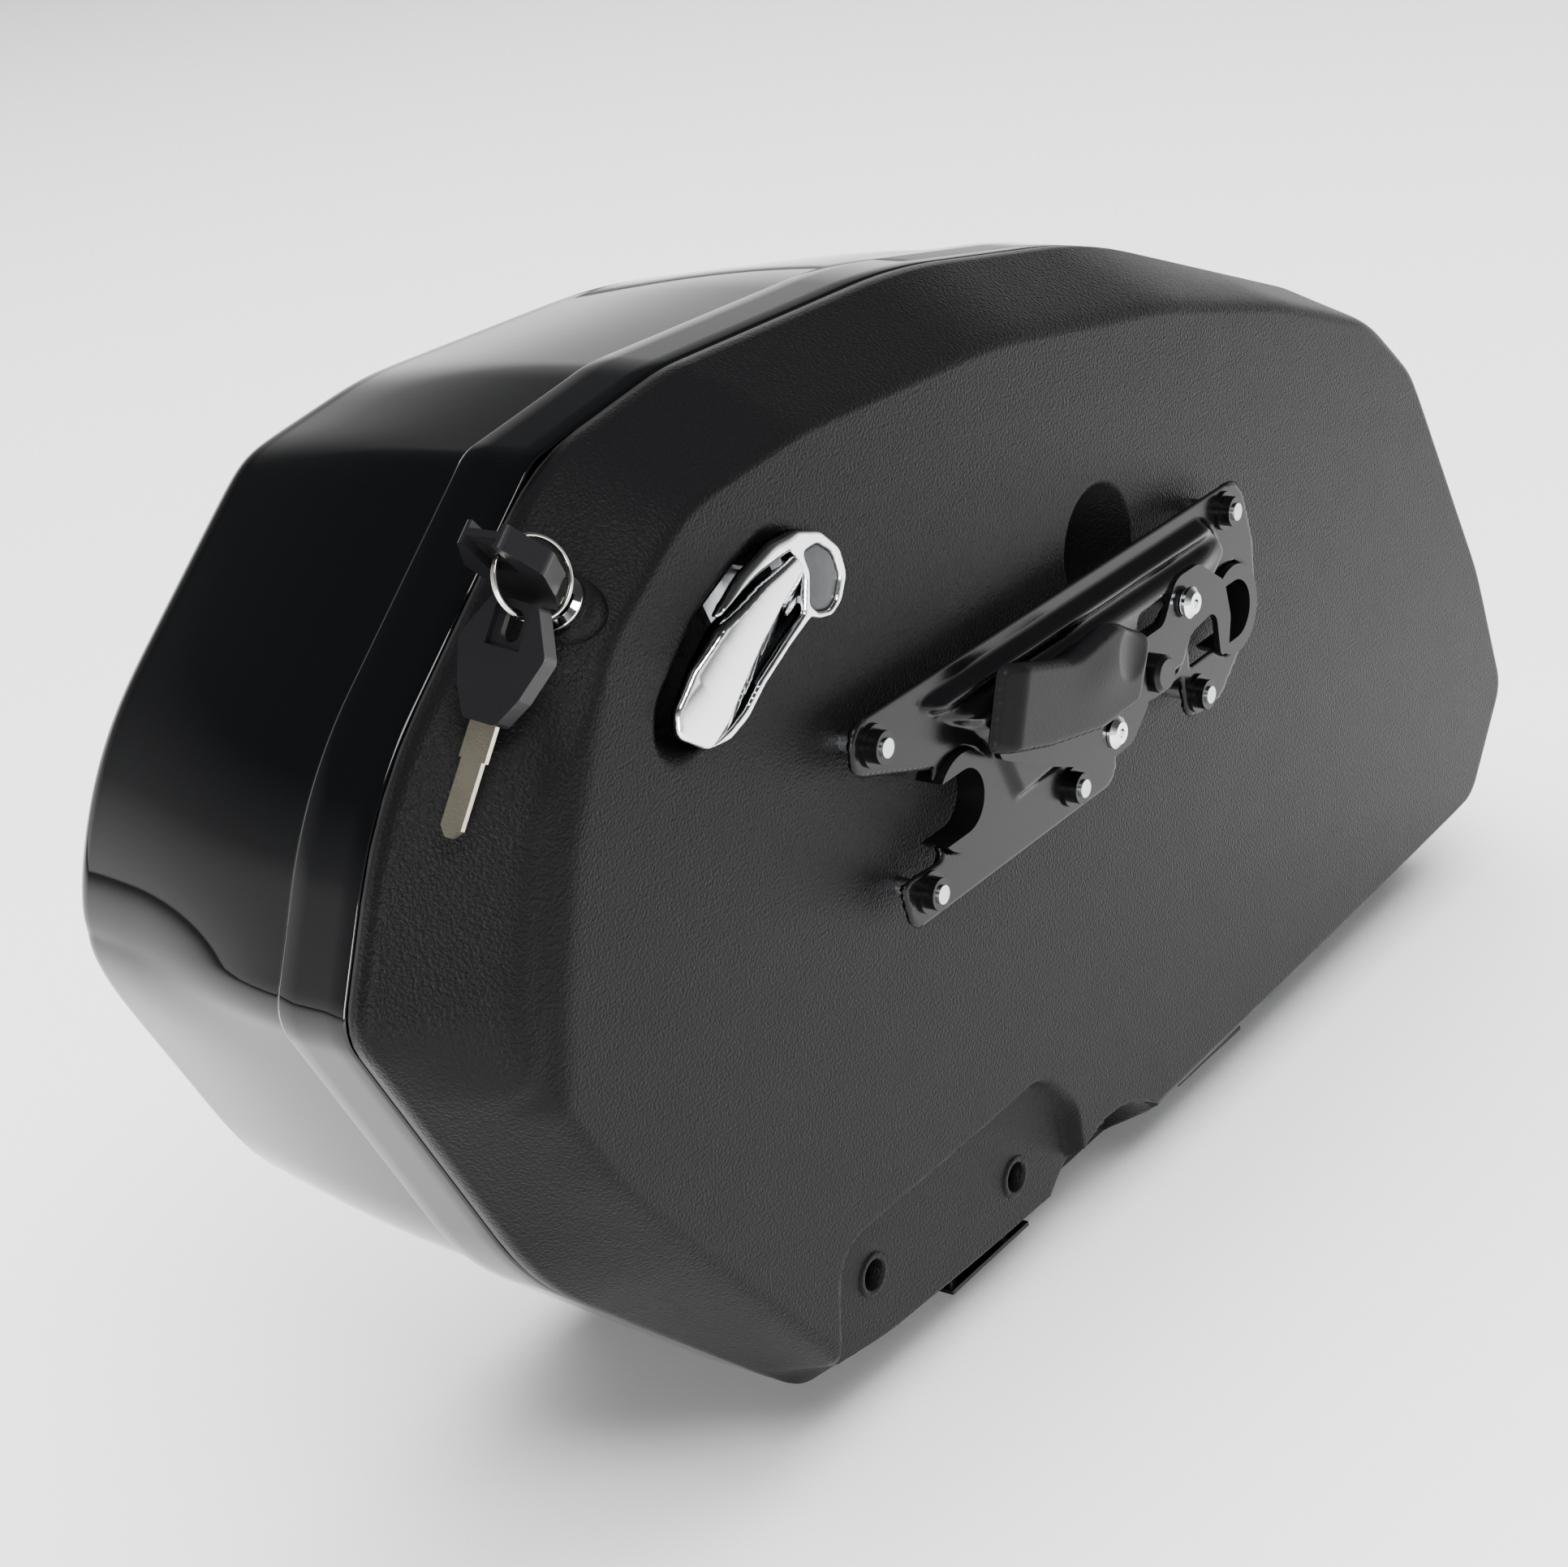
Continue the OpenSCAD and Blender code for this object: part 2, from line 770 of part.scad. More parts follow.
// Blade of a key in the same frame, with a step on each edge
module blade(length) {
    translate([bow_length - 8, -4, -1])
        cube([18, 8, 2]);
    translate([bow_length + 10, -3.2, -1])
        cube([length - 12.5, 6.4, 2]);
    translate([bow_length + length - 2.6, 0, -1])
        linear_extrude(2)
            polygon([[0, -3.2], [2.6, -1], [2.6, 1], [0, 3.2]]);
}

// Frame of the key in the lock: its bow stands clear of the flange
module inserted_key() {
    placed(LOCK_AT + lock_dir * (bow_length + key_gap), -lock_dir, -bow_across) children();
}

module spare_key() {
    placed(SPARE_AT, spare_dir, spare_across) children();
}

module key_bow() {
    color("#1a1b1d") inserted_key() bow();
}

module key_blade() {
    color("#cfc6ad") inserted_key() blade(blade_length);
}

module spare_bow() {
    color("#1a1b1d") spare_key() bow();
}

module spare_blade() {
    color("#cfc6ad") spare_key() blade(blade_length);
}

// Split ring of two turns through the holes of both bows
module key_ring() {
    color("#d6d3c8")
        placed(RING_AT, ring_u, ring_v)
            rotate_extrude()
                for (z = [-0.5, 0.5])
                    translate([ring_r, z])
                        circle(r = 0.55, $fn = 24);
}

// ---- Lid ----

// Straight band of the lid beside the seam, made smaller all round by t
module lid_band(t) {
    prism(rounded(inset(SEAM, t), 4), lid_y - (t > 0 ? 1 : 0), band_y - t);
}

// Tapered body of the lid with its rounded edge and crowned face, made smaller by t
module lid_body(t) {
    rim = inset(SEAM, lid_taper + t);
    low = shoulder_y - 12;
    hull() {
        slice(inset(SEAM, t + 2.5), band_y - (t > 0 ? 4 : 0.2));
        slice(rim, low);
        for (a = [25, 50, 75])
            slice(shrunk(rim, 1 - 0.1 * (1 - cos(a))), low + (14 - t) * sin(a));
        slice(shrunk(rim, 0.72), apex_y - t - 7);
        slice(shrunk(rim, 0.4), apex_y - t - 0.05);
    }
}

module lid_shell() {
    color("#0d0e10")
        difference() {
            union() {
                lid_band(0);
                lid_body(0);
            }
            lid_band(wall);
            lid_body(wall);
            rivet_holes(1.5);
        }
}

// ---- Hinge along the bottom edge ----

// Rivets of the hinges: [x offset, y] for the base leaf and for the lid leaf
BASE_RIVETS = [[8, seam_y - 8], [42, seam_y - 8]];
LID_RIVETS = [[8, lid_y + 15], [42, lid_y + 15]];

module rivets(list, r, z0, z1) {
    for (x = HINGE_X, p = list)
        translate([x + p[0], p[1], z0])
            cylinder(r = r, h = z1 - z0);
}

module rivet_holes(r) {
    rivets(BASE_RIVETS, r, seam_low - 1, seam_low + 12);
    rivets(BASE_RIVETS, 3.1, seam_low + 10.3, seam_low + 15);
    rivets(LID_RIVETS, r, seam_low - 1, seam_low + wall + 1);
}

// Leaf from the knuckles to a flat flange between two Y levels
module leaf(x, spans, y0, y1, bore) {
    difference() {
        union() {
            for (s = spans) {
                along_x(x + s[0], HINGE[0], HINGE[1], knuckle_r, s[1] - s[0]);
                translate([x + s[0], min(HINGE[0], y0), seam_low - leaf_t])
                    cube([s[1] - s[0], abs(y1 - y0), leaf_t]);
            }
            translate([x, y0 < HINGE[0] - 2 ? y0 : y0 + 6, seam_low - leaf_t])
                cube([hinge_w, abs(y1 - y0) - 6, leaf_t]);
        }
        along_x(x - 1, HINGE[0], HINGE[1], bore, hinge_w + 2);
        for (p = concat(BASE_RIVETS, LID_RIVETS))
            translate([x + p[0], p[1], seam_low - leaf_t - 1])
                cylinder(r = 1.5, h = leaf_t + 2);
    }
}

module hinge_base_leaves() {
    color("#3a3b3e")
        for (x = HINGE_X)
            leaf(x, [[0, 15], [35, 50]], seam_y - 14, HINGE[0], pin_r);
}

module hinge_lid_leaves() {
    color("#3a3b3e")
        for (x = HINGE_X)
            leaf(x, [[15.4, 34.6]], HINGE[0], HINGE[0] + 24, pin_r + run_gap);
}

module hinge_pins() {
    color("#b4b6ba")
        for (x = HINGE_X)
            along_x(x, HINGE[0], HINGE[1], pin_r, hinge_w);
}

// Round heads below the leaf, shank through it and a flat head inside
module rivet_set(list, inside) {
    rivets(list, 1.5, seam_low - leaf_t, inside);
    rivets(list, 2.8, seam_low - leaf_t - 1.2, seam_low - leaf_t);
    rivets(list, 2.8, inside, inside + 1);
}

module hinge_base_rivets() {
    color("#b4b6ba") rivet_set(BASE_RIVETS, seam_low + 10.4);
}

module hinge_lid_rivets() {
    color("#b4b6ba") rivet_set(LID_RIVETS, seam_low + wall + 0.42);
}

// ---- Latch parts on the lid ----

// Bracket on the inside of the lid's top wall with a hole for the rod's end
module latch_striker() {
    color("#8a8c90")
        difference() {
            union() {
                latch_frame()
                    translate([striker_x, rod_y - 5, -8])
                        cube([3, 30, 13]);
                intersection() {
                    union() {
                        latch_frame()
                            translate([striker_x, lid_y + 2, 4])
                                cube([3, 14, 22]);
                        translate([22, lid_y + 2, 143])
                            cube([30, 14, 10]);
                    }
                    lid_band(wall);
                }
            }
            latch_frame()
                translate([striker_x - 1, rod_y, 0])
                    rotate([0, 90, 0])
                        cylinder(r = rod_r + 0.6, h = 5);
        }
}

// Tab on the inside of the lid's wall that the hook of the lock's tongue catches
module lock_keeper() {
    color("#8a8c90")
        intersection() {
            lock_frame() {
                translate([-36, -28, -13])
                    cube([46, 2.5, 8.4]);
                translate([-1, -34, -19])
                    cube([11, 9, 20]);
            }
            lid_band(wall);
        }
}

base_shell();
seam_gasket();
reinforcement_plate();
plate_bolts();
mount_plate();
hook_collars();
sleeve_nuts();
release_screw();
pawl_screw();
pawl_spring();
latch_bezel();
latch_pad();
lever_bracket();
lever_pin();
rod_guides();
rod_spring();
lock_body();
lock_nut();
hinge_base_leaves();
hinge_pins();
hinge_base_rivets();
lid_shell();
hinge_lid_leaves();
hinge_lid_rivets();
latch_striker();
lock_keeper();
latch_lever();
lever_crank();
latch_rod();
rod_collar();
lock_plug();
lock_cam();
cam_screw();
key_bow();
key_blade();
key_ring();
spare_bow();
spare_blade();
release_arm();
release_grip();
latch_pawl();
pawl_knob();
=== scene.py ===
"""Looks of the hard saddlebag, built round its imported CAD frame."""

import json
import math

import bmesh
import bpy
import numpy as np
from mathutils import Matrix, Vector


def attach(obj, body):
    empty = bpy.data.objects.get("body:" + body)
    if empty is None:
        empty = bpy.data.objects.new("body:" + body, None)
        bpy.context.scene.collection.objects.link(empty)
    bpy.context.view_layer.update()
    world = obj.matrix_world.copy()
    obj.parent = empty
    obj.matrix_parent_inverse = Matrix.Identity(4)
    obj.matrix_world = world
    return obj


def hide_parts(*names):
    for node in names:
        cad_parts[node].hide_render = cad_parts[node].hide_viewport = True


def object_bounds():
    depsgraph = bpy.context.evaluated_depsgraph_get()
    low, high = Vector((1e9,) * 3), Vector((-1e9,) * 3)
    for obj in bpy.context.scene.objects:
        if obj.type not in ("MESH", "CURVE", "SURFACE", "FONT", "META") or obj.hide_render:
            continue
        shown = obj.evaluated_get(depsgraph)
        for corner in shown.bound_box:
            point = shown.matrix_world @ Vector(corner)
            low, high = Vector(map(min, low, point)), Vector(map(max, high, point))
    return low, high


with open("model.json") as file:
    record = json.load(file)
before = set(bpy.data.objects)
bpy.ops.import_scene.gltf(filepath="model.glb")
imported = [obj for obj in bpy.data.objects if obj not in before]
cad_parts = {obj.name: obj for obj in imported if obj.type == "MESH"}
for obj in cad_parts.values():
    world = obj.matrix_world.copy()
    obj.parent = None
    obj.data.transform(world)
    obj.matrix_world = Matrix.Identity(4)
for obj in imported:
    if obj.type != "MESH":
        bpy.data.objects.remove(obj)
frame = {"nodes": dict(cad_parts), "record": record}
NODES = frame["nodes"]
MM = 0.001
cad_low, cad_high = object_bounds()

# ---- Outlines and levels of the bag, in millimetres ----

FACE_Y = 13.0
SEAM_Y = 49.0
LID_Y = 51.0
BAND_Y = 76.0
SHOULDER_Y = 165.0
SHELL_WALL = 2.6
# Point of the XZ plane that the rings of both shells run round
CENTRE = np.array([100.0, -15.0])

# Outlines are corners [x, z, rounding]; these four lie in the XZ plane
SEAM = [
    (-225, 17, 20), (-199, 76, 120), (-118, 143, 70), (-60, 152, 80), (60, 150, 300),
    (170, 130, 300), (318, 74, 150), (384, 30, 60), (440, -85, 90), (452, -132, 16),
    (420, -184, 22), (240, -194.6, 40), (0, -194.6, 40), (-62, -190, 26), (-172, -88, 120),
]
FACE = [
    (-192, -6, 16), (-168, 66, 60), (-140, 104, 36), (-102, 127, 50), (-46, 132, 100),
    (60, 129, 300), (165, 112, 300), (250, 90, 200), (322, 62, 60), (352, 34, 40),
    (408, -66, 100), (430, -126, 14), (398, -164, 18), (124, -174, 60), (-78, -165, 12),
    (-168, -50, 120),
]
PANEL = [(-80, -180, 2), (-72, -125, 16), (48, -125, 20), (67, -146, 16), (70, -180, 2)]
# Mouth of the latch pocket, in the turned frame of the latch
POCKET = [
    (-65.5, 1, 5), (-60, 8, 8), (-36, 15.5, 20), (-18, 16.4, 20), (-1, 14, 14), (8, 9, 10), (12, 0, 6),
    (7, -12, 4), (0, -12.4, 3), (-11, -12.2, 20), (-38, -15, 14), (-50, -13, 8), (-58, -9, 4),
]
GRIP = [
    (4, 15, 4), (14, 41, 5), (24, 38, 8), (50, 30, 24), (66, 32, 14), (76, 33, 12),
    (97, 21, 4), (87, 1, 5), (62, 1, 24), (32, 7, 20),
]
# Latch pivot and the slope of its lever, lower holes, lock and the way it faces
LATCH_AT = np.array([-61.0, 92.0])
LATCH_TURN = math.radians(23.5)
LOWER_HOLES = [(-51, -146), (34, -156)]
HOLE_R = 5.0
LOCK_AT = np.array([-143.5, 27.0, 112.7])
LOCK_OUT = np.array([-0.6548, 0.0, 0.7558])


def rounded(corners, steps=10):
    """Outline with every corner rounded by its own radius, as an array of points."""
    out = []
    count = len(corners)
    for i in range(count):
        a = np.array(corners[i - 1][:2], float)
        b = np.array(corners[i][:2], float)
        c = np.array(corners[(i + 1) % count][:2], float)
        la = np.linalg.norm(a - b)
        lc = np.linalg.norm(c - b)
        u = (a - b) / la
        v = (c - b) / lc
        half = math.acos(max(-1.0, min(1.0, float(u @ v)))) / 2
        reach = min(corners[i][2] / math.tan(half), 0.48 * la, 0.48 * lc)
        start = b + u * reach
        end = b + v * reach
        for k in range(steps + 1):
            t = k / steps
            out.append((1 - t) ** 2 * start + 2 * t * (1 - t) * b + t * t * end)
    return np.array(out)


def signed_distance(points, outline):
    """Distance of points to a closed outline, negative inside."""
    best = np.full(len(points), 1e9)
    inside = np.zeros(len(points), bool)
    for i in range(len(outline)):
        a = outline[i - 1]
        b = outline[i]
        edge = b - a
        length = float(edge @ edge)
        if length < 1e-12:
            continue
        rel = points - a
        t = np.clip(rel @ edge / length, 0, 1)
        gap = rel - t[:, None] * edge
        best = np.minimum(best, (gap ** 2).sum(1))
        crosses = (a[1] > points[:, 1]) != (b[1] > points[:, 1])
        if edge[1] != 0:
            at = a[0] + (points[:, 1] - a[1]) / edge[1] * edge[0]
            inside ^= crosses & (points[:, 0] < at)
    dist = np.sqrt(best)
    return np.where(inside, -dist, dist)


def latch_points(points):
    """Points of the XZ plane in the turned frame of the latch."""
    rel = points - LATCH_AT
    c, s = math.cos(LATCH_TURN), math.sin(LATCH_TURN)
    return np.stack([rel[:, 0] * c + rel[:, 1] * s, -rel[:, 0] * s + rel[:, 1] * c], 1)


def resampled(outline, count):
    """Points at equal steps along a closed outline."""
    closed = np.vstack([outline, outline[:1]])
    step = np.linalg.norm(np.diff(closed, axis=0), axis=1)
    run = np.concatenate([[0], np.cumsum(step)])
    at = np.linspace(0, run[-1], count, endpoint=False)
    return np.stack([np.interp(at, run, closed[:, 0]), np.interp(at, run, closed[:, 1])], 1)


def polar(outline, angles):
    """Distance from CENTRE to the outline in each direction."""
    rel = resampled(outline, 4000) - CENTRE
    th = np.unwrap(np.arctan2(rel[:, 1], rel[:, 0]))
    if th[-1] < th[0]:
        th, rel = th[::-1], rel[::-1]
    r = np.linalg.norm(rel, axis=1)
    th3 = np.concatenate([th - 2 * math.pi, th, th + 2 * math.pi])
    return np.interp(angles, th3, np.tile(r, 3))


def ease(x):
    """Smooth step from 0 to 1."""
    x = np.clip(x, 0, 1)
    return x * x * (3 - 2 * x)


# ---- Mesh helpers ----


def new_object(name, verts, faces, body, slot):
    """Smooth-shaded mesh that rides a body and has the material of its slot."""
    mesh = bpy.data.meshes.new(name)
    mesh.from_pydata([tuple(v) for v in verts], [], [tuple(f) for f in faces])
    mesh.validate()
    obj = bpy.data.objects.new(name, mesh)
    bpy.context.scene.collection.objects.link(obj)
    mesh.materials.append(MATS[slot])
    mesh.polygons.foreach_set("use_smooth", [True] * len(mesh.polygons))
    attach(obj, body)
    return obj


def grid_faces(rows, columns):
    """Quads between rings of points, each ring closed on itself."""
    faces = []
    for i in range(rows - 1):
        this = i * columns
        above = this + columns
        for j in range(columns):
            k = (j + 1) % columns
            faces.append((this + j, this + k, above + k, above + j))
    return faces


def outward(obj):
    """Turn the faces of a mesh the same way round."""
    bm = bmesh.new()
    bm.from_mesh(obj.data)
    bmesh.ops.recalc_face_normals(bm, faces=bm.faces)
    bm.to_mesh(obj.data)
    bm.free()


def thicken(obj, name, thickness):
    """Give a surface a wall on its inner side."""
    wall = obj.modifiers.new(name, "SOLIDIFY")
    wall.thickness = thickness * MM
    wall.offset = -1


def add_bevel(obj, width):
    """Round the sharp edges of a CAD node."""
    edges = obj.modifiers.new("edges", "BEVEL")
    edges.width = width * MM
    edges.segments = 3
    edges.limit_method = "ANGLE"
    edges.angle_limit = math.radians(35)
    edges.harden_normals = False


# ---- Materials ----


SMUDGE_SCALE = 60
SMUDGE_DETAIL = 4
GRAIN_DETAIL = 2.5


def material(name, colour, rough, spec=0.5, metal=0.0, smudge=0.0, grain=None):
    """Principled material: smudge varies its roughness, grain is (scale, depth in metres)."""
    mat = bpy.data.materials.new(name)
    mat.use_nodes = True
    tree = mat.node_tree
    shader = tree.nodes["Principled BSDF"]
    shader.inputs["Base Color"].default_value = (*colour, 1)
    shader.inputs["Metallic"].default_value = metal
    shader.inputs["Roughness"].default_value = rough
    shader.inputs["Specular IOR Level"].default_value = spec
    coords = tree.nodes.new("ShaderNodeTexCoord")
    if smudge:
        noise = tree.nodes.new("ShaderNodeTexNoise")
        noise.inputs["Scale"].default_value = SMUDGE_SCALE
        noise.inputs["Detail"].default_value = SMUDGE_DETAIL
        ramp = tree.nodes.new("ShaderNodeMapRange")
        ramp.inputs["To Min"].default_value = max(0.02, rough - smudge)
        ramp.inputs["To Max"].default_value = rough + smudge
        tree.links.new(coords.outputs["Object"], noise.inputs["Vector"])
        tree.links.new(noise.outputs["Fac"], ramp.inputs["Value"])
        tree.links.new(ramp.outputs["Result"], shader.inputs["Roughness"])
    if grain:
        scale, depth = grain
        worms = tree.nodes.new("ShaderNodeTexNoise")
        worms.inputs["Scale"].default_value = scale
        worms.inputs["Detail"].default_value = GRAIN_DETAIL
        bump = tree.nodes.new("ShaderNodeBump")
        bump.inputs["Strength"].default_value = 1.0
        bump.inputs["Distance"].default_value = depth
        tree.links.new(coords.outputs["Object"], worms.inputs["Vector"])
        tree.links.new(worms.outputs["Fac"], bump.inputs["Height"])
        tree.links.new(bump.outputs["Normal"], shader.inputs["Normal"])
    return mat


# One material per slot of the record
MATS = {
    "grained_plastic": material(
        "tray_grain", (0.0034, 0.0034, 0.0037), 0.33, spec=0.07, smudge=0.03, grain=(1000, 0.0005),
    ),
    "gloss_lid": material("lid_gloss", (0.0012, 0.0013, 0.0016), 0.05, spec=0.36, smudge=0.012),
    "seal_rubber": material("seal", (0.006, 0.006, 0.006), 0.6, smudge=0.05, grain=(900, 0.0001)),
    "black_steel": material(
        "black_coat", (0.0022, 0.0022, 0.0025), 0.2, spec=0.17, smudge=0.03, grain=(1500, 0.00003),
    ),
    "black_nut": material(
        "nut_black", (0.002, 0.002, 0.0023), 0.26, spec=0.2, smudge=0.04, grain=(1200, 0.00004),
    ),
    "lever_plastic": material(
        "moulded_black", (0.004, 0.004, 0.0044), 0.34, spec=0.1, smudge=0.04, grain=(1400, 0.00007),
    ),
    "chrome": material("chrome_plate", (0.82, 0.83, 0.85), 0.07, metal=1.0, smudge=0.02),
    "pad_plastic": material(
        "pad_grey", (0.03, 0.031, 0.033), 0.4, spec=0.3, smudge=0.04, grain=(900, 0.00008),
    ),
    "zinc_steel": material(
        "zinc", (0.55, 0.56, 0.58), 0.28, metal=1.0, smudge=0.06, grain=(700, 0.00005),
    ),
    "spring_steel": material("spring_wire", (0.5, 0.51, 0.53), 0.3, metal=1.0, smudge=0.05),
    "ring_steel": material("ring_nickel", (0.78, 0.75, 0.68), 0.14, metal=1.0, smudge=0.04),
    "nickel_silver": material(
        "blade_nickel", (0.66, 0.60, 0.48), 0.26, metal=1.0, smudge=0.06, grain=(1600, 0.00003),
    ),
    "key_plastic": material(
        "bow_black", (0.005, 0.005, 0.0056), 0.32, spec=0.22, smudge=0.05, grain=(1300, 0.00006),
    ),
}
CAD_SLOTS = {p["node"]: p["material_slot"] for p in frame["record"]["subparts"]}
for node_name, node in NODES.items():
    for holder in node.material_slots:
        holder.material = MATS[CAD_SLOTS[node_name]]

# Edge rounding of the CAD nodes that stay visible, in millimetres
EDGES = {
    "hook_collars": 2.0, "sleeve_nuts": 0.7, "plate_bolts": 0.4,
    "release_screw": 0.4, "pawl_screw": 0.4,
    "release_arm": 0.5, "latch_pawl": 0.5, "pawl_knob": 0.8, "lock_body": 0.5,
    "lock_plug": 0.4, "key_bow": 0.9, "spare_bow": 0.9, "key_blade": 0.2,
    "spare_blade": 0.2, "hinge_base_leaves": 0.3, "hinge_lid_leaves": 0.3,
}
for node_name, width in EDGES.items():
    add_bevel(NODES[node_name], width)

# ---- Base tray: a relief over the XZ plane, thickened inwards ----

BEND = 3.36
POCKET_DEPTH = 14
VALLEY_DEPTH = 5.5
DIMPLE_AT = [109.5, 44.5]
DIMPLE_R = 30.0
DIMPLE_SINK = 20.9
PANEL_DEPTH = 5
SCALLOP_AT = [90, -209]
# Line of the soft valley beside the facet that carries the lock
LOCK_VALLEY = np.array([[-152, 95], [-172, 55], [-185, 15], [-190, -10]])


def line_distance(points, line):
    """Distance of points to an open line of points."""
    near = np.full(len(points), 1e9)
    for a, b in zip(line[:-1], line[1:]):
        e = b - a
        t = np.clip((points - a) @ e / (e @ e), 0, 1)
        near = np.minimum(near, np.linalg.norm(points - a - t[:, None] * e, axis=1))
    return near


def tray_level(points, r, r_face, r_seam):
    """Level Y of the tray's outer surface at points of the XZ plane."""
    run = np.maximum(r_seam - r_face, 4)
    slope = (SEAM_Y - 4 - FACE_Y) / run
    over = r - r_face
    # Smooth bend between the flat face and the sloping side
    soft = 0.5 * (over + np.sqrt(over ** 2 + BEND ** 2)) - 0.16
    y = FACE_Y + np.maximum(soft, 0) * slope - 0.9
    y = np.clip(np.maximum(y, FACE_Y), FACE_Y, SEAM_Y)
    y = y + 2.6 * np.exp(-(line_distance(points, LOCK_VALLEY) / 5.0) ** 2)
    # Pocket of the latch, with a soft hollow along its upper side and its free end
    local = latch_points(points)
    pocket = signed_distance(local, rounded(POCKET))
    y = np.where(pocket < 1.0, np.maximum(y, FACE_Y + POCKET_DEPTH * ease((1.0 - pocket) / 1.6)), y)
    upper = ease((local[:, 1] + 1) / 8) * (1 - ease((local[:, 0] + 4) / 16))
    upper = np.maximum(upper, ease((-52 - local[:, 0]) / 8) * ease((local[:, 1] + 11) / 6))
    y = y + VALLEY_DEPTH * upper * ease((8.0 - pocket) / 9.0) * (pocket > -2)
    # Half-round dimple above the docking plate
    across = ((points - DIMPLE_AT) ** 2).sum(1)
    dimple = np.sqrt(np.maximum(DIMPLE_R ** 2 - across, 0)) + FACE_Y - DIMPLE_SINK
    y = np.maximum(y, dimple)
    # Recess of the lower holes and scallop of the lower edge
    panel = signed_distance(points, rounded(PANEL))
    wall = 3.0 + 3.0 * ease((points[:, 0] - 20) / 40)
    y = np.maximum(y, FACE_Y + PANEL_DEPTH * ease(0.5 - panel / wall))
    scallop = np.linalg.norm(points - SCALLOP_AT, axis=1)
    cut = SEAM_Y - 9 - 22 * ease((scallop - 40) / 9)
    y = np.where(scallop < 49, np.maximum(y, cut), y)
    return y


def build_tray():
    """Rings from the centre to the seam, each at the level of the tray there."""
    columns = 1100
    angles = np.linspace(-math.pi, math.pi, columns, endpoint=False)
    r_face = polar(rounded(FACE), angles)
    r_seam = polar(rounded(SEAM), angles)
    steps = [("in", t) for t in np.linspace(0.01, 0.93, 150)]
    steps += [("in", t) for t in np.linspace(0.935, 1.0, 16)]
    steps += [("out", t) for t in np.linspace(0.03, 0.985, 44)]
    rows, levels = [], []
    for kind, t in steps:
        r = r_face * t if kind == "in" else r_face + (r_seam - r_face) * t
        pts = CENTRE + np.stack([np.cos(angles), np.sin(angles)], 1) * r[:, None]
        rows.append(pts)
        levels.append(tray_level(pts, r, r_face, r_seam))
    for y, t in ((SEAM_Y - 3.4, 0.9985), (SEAM_Y - 2.5, 1.0), (SEAM_Y, 1.0)):
        r = r_face + (r_seam - r_face) * t
        pts = CENTRE + np.stack([np.cos(angles), np.sin(angles)], 1) * r[:, None]
        rows.append(pts)
        levels.append(np.maximum(np.full(columns, y), np.minimum(levels[-1], SEAM_Y)))
    verts = []
    for pts, y in zip(rows, levels):
        verts.append(np.stack([pts[:, 0], y, pts[:, 1]], 1))
    verts = np.concatenate(verts) * MM
    faces = grid_faces(len(rows), columns)
    xz = verts[:, [0, 2]] / MM
    hidden = np.zeros(len(verts), bool)
    for hole in LOWER_HOLES:
        hidden |= np.linalg.norm(xz - hole, axis=1) < HOLE_R + 0.6
    faces = [f for f in faces if not any(hidden[list(f)])]
    faces.append(tuple(range(columns)))
    obj = new_object("tray_body", verts, faces, "tray", "grained_plastic")
    outward(obj)
    thicken(obj, "wall", SHELL_WALL)
    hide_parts("base_shell")


build_tray()


def ring_piece(name, at, axis, profile, slot, body, columns=64):
    """Turned piece: profile is a list of (radius, distance along the axis)."""
    axis = np.array(axis, float)
    axis /= np.linalg.norm(axis)
    side = np.cross(axis, [0.3, 0.2, 0.9])
    side /= np.linalg.norm(side)
    other = np.cross(axis, side)
    verts = []
    for r, d in profile:
        for k in range(columns):
            a = 2 * math.pi * k / columns
            p = np.array(at) + axis * d + (side * math.cos(a) + other * math.sin(a)) * r
            verts.append(p * MM)
    faces = grid_faces(len(profile), columns)
    outward(new_object(name, verts, faces, body, slot))


# Rims of the lower holes and the boss under the lock
for index, (hx, hz) in enumerate(LOWER_HOLES):
    ring_piece(
        f"hole_rim_{index}", (hx, 0, hz), (0, 1, 0),
        [(5, 24), (5, 18.2), (5.4, 17.5), (7.2, 17.4), (7.8, 18.4), (7.8, 24), (5, 24)],
        "grained_plastic", "tray",
    )
ring_piece(
    "lock_boss", LOCK_AT, LOCK_OUT,
    [(7.6, -12), (7.6, -0.5), (9.2, -0.5), (10.0, -1.2), (11.2, -9), (7.6, -12)],
    "grained_plastic", "tray",
)

# ---- Reliefs: plates and mouldings over an outline ----


class Shape:
    """Region inside an outline and outside its holes."""

    def __init__(self, outline, holes=()):
        self.outline = outline
        self.holes = holes

    def gap(self, points):
        d = signed_distance(points, self.outline)
        for hole in self.holes:
            d = np.maximum(d, -signed_distance(points, hole))
        return d


